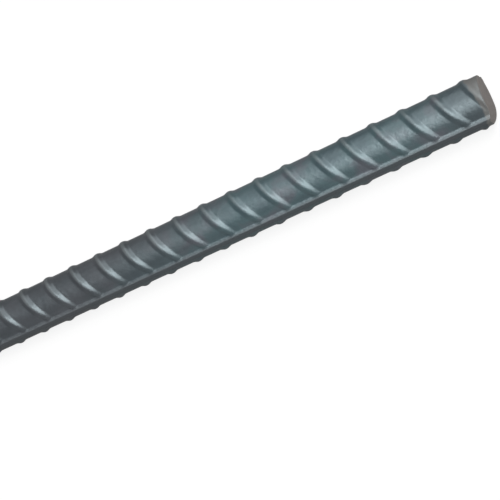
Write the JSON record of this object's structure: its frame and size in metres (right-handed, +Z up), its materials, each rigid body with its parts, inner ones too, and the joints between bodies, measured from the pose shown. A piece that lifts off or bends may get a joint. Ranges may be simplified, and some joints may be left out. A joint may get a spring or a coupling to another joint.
{
  "type": "deformed reinforcing bar",
  "caption": "Straight hot-rolled steel reinforcing bar, round core with longitudinal and slanted transverse ribs, both ends sheared; cast into concrete to carry tension.",
  "frame": {"origin": "on the bar's axis, midway between the two sheared ends", "axes": "+X along the bar towards the end that the picture shows, +Y towards one longitudinal rib, +Z up as the bar lies"},
  "size_m": [1, 0.0174, 0.0154],
  "materials": {
    "mill_scale_steel": "hot-rolled steel with blue-grey mill scale, semi-gloss, rubbed brighter on the rib crests, browner on the sheared ends"
  },
  "bodies": {
    "root": {"reinforcing_bar": "mill_scale_steel"}
  },
  "joints": []
}
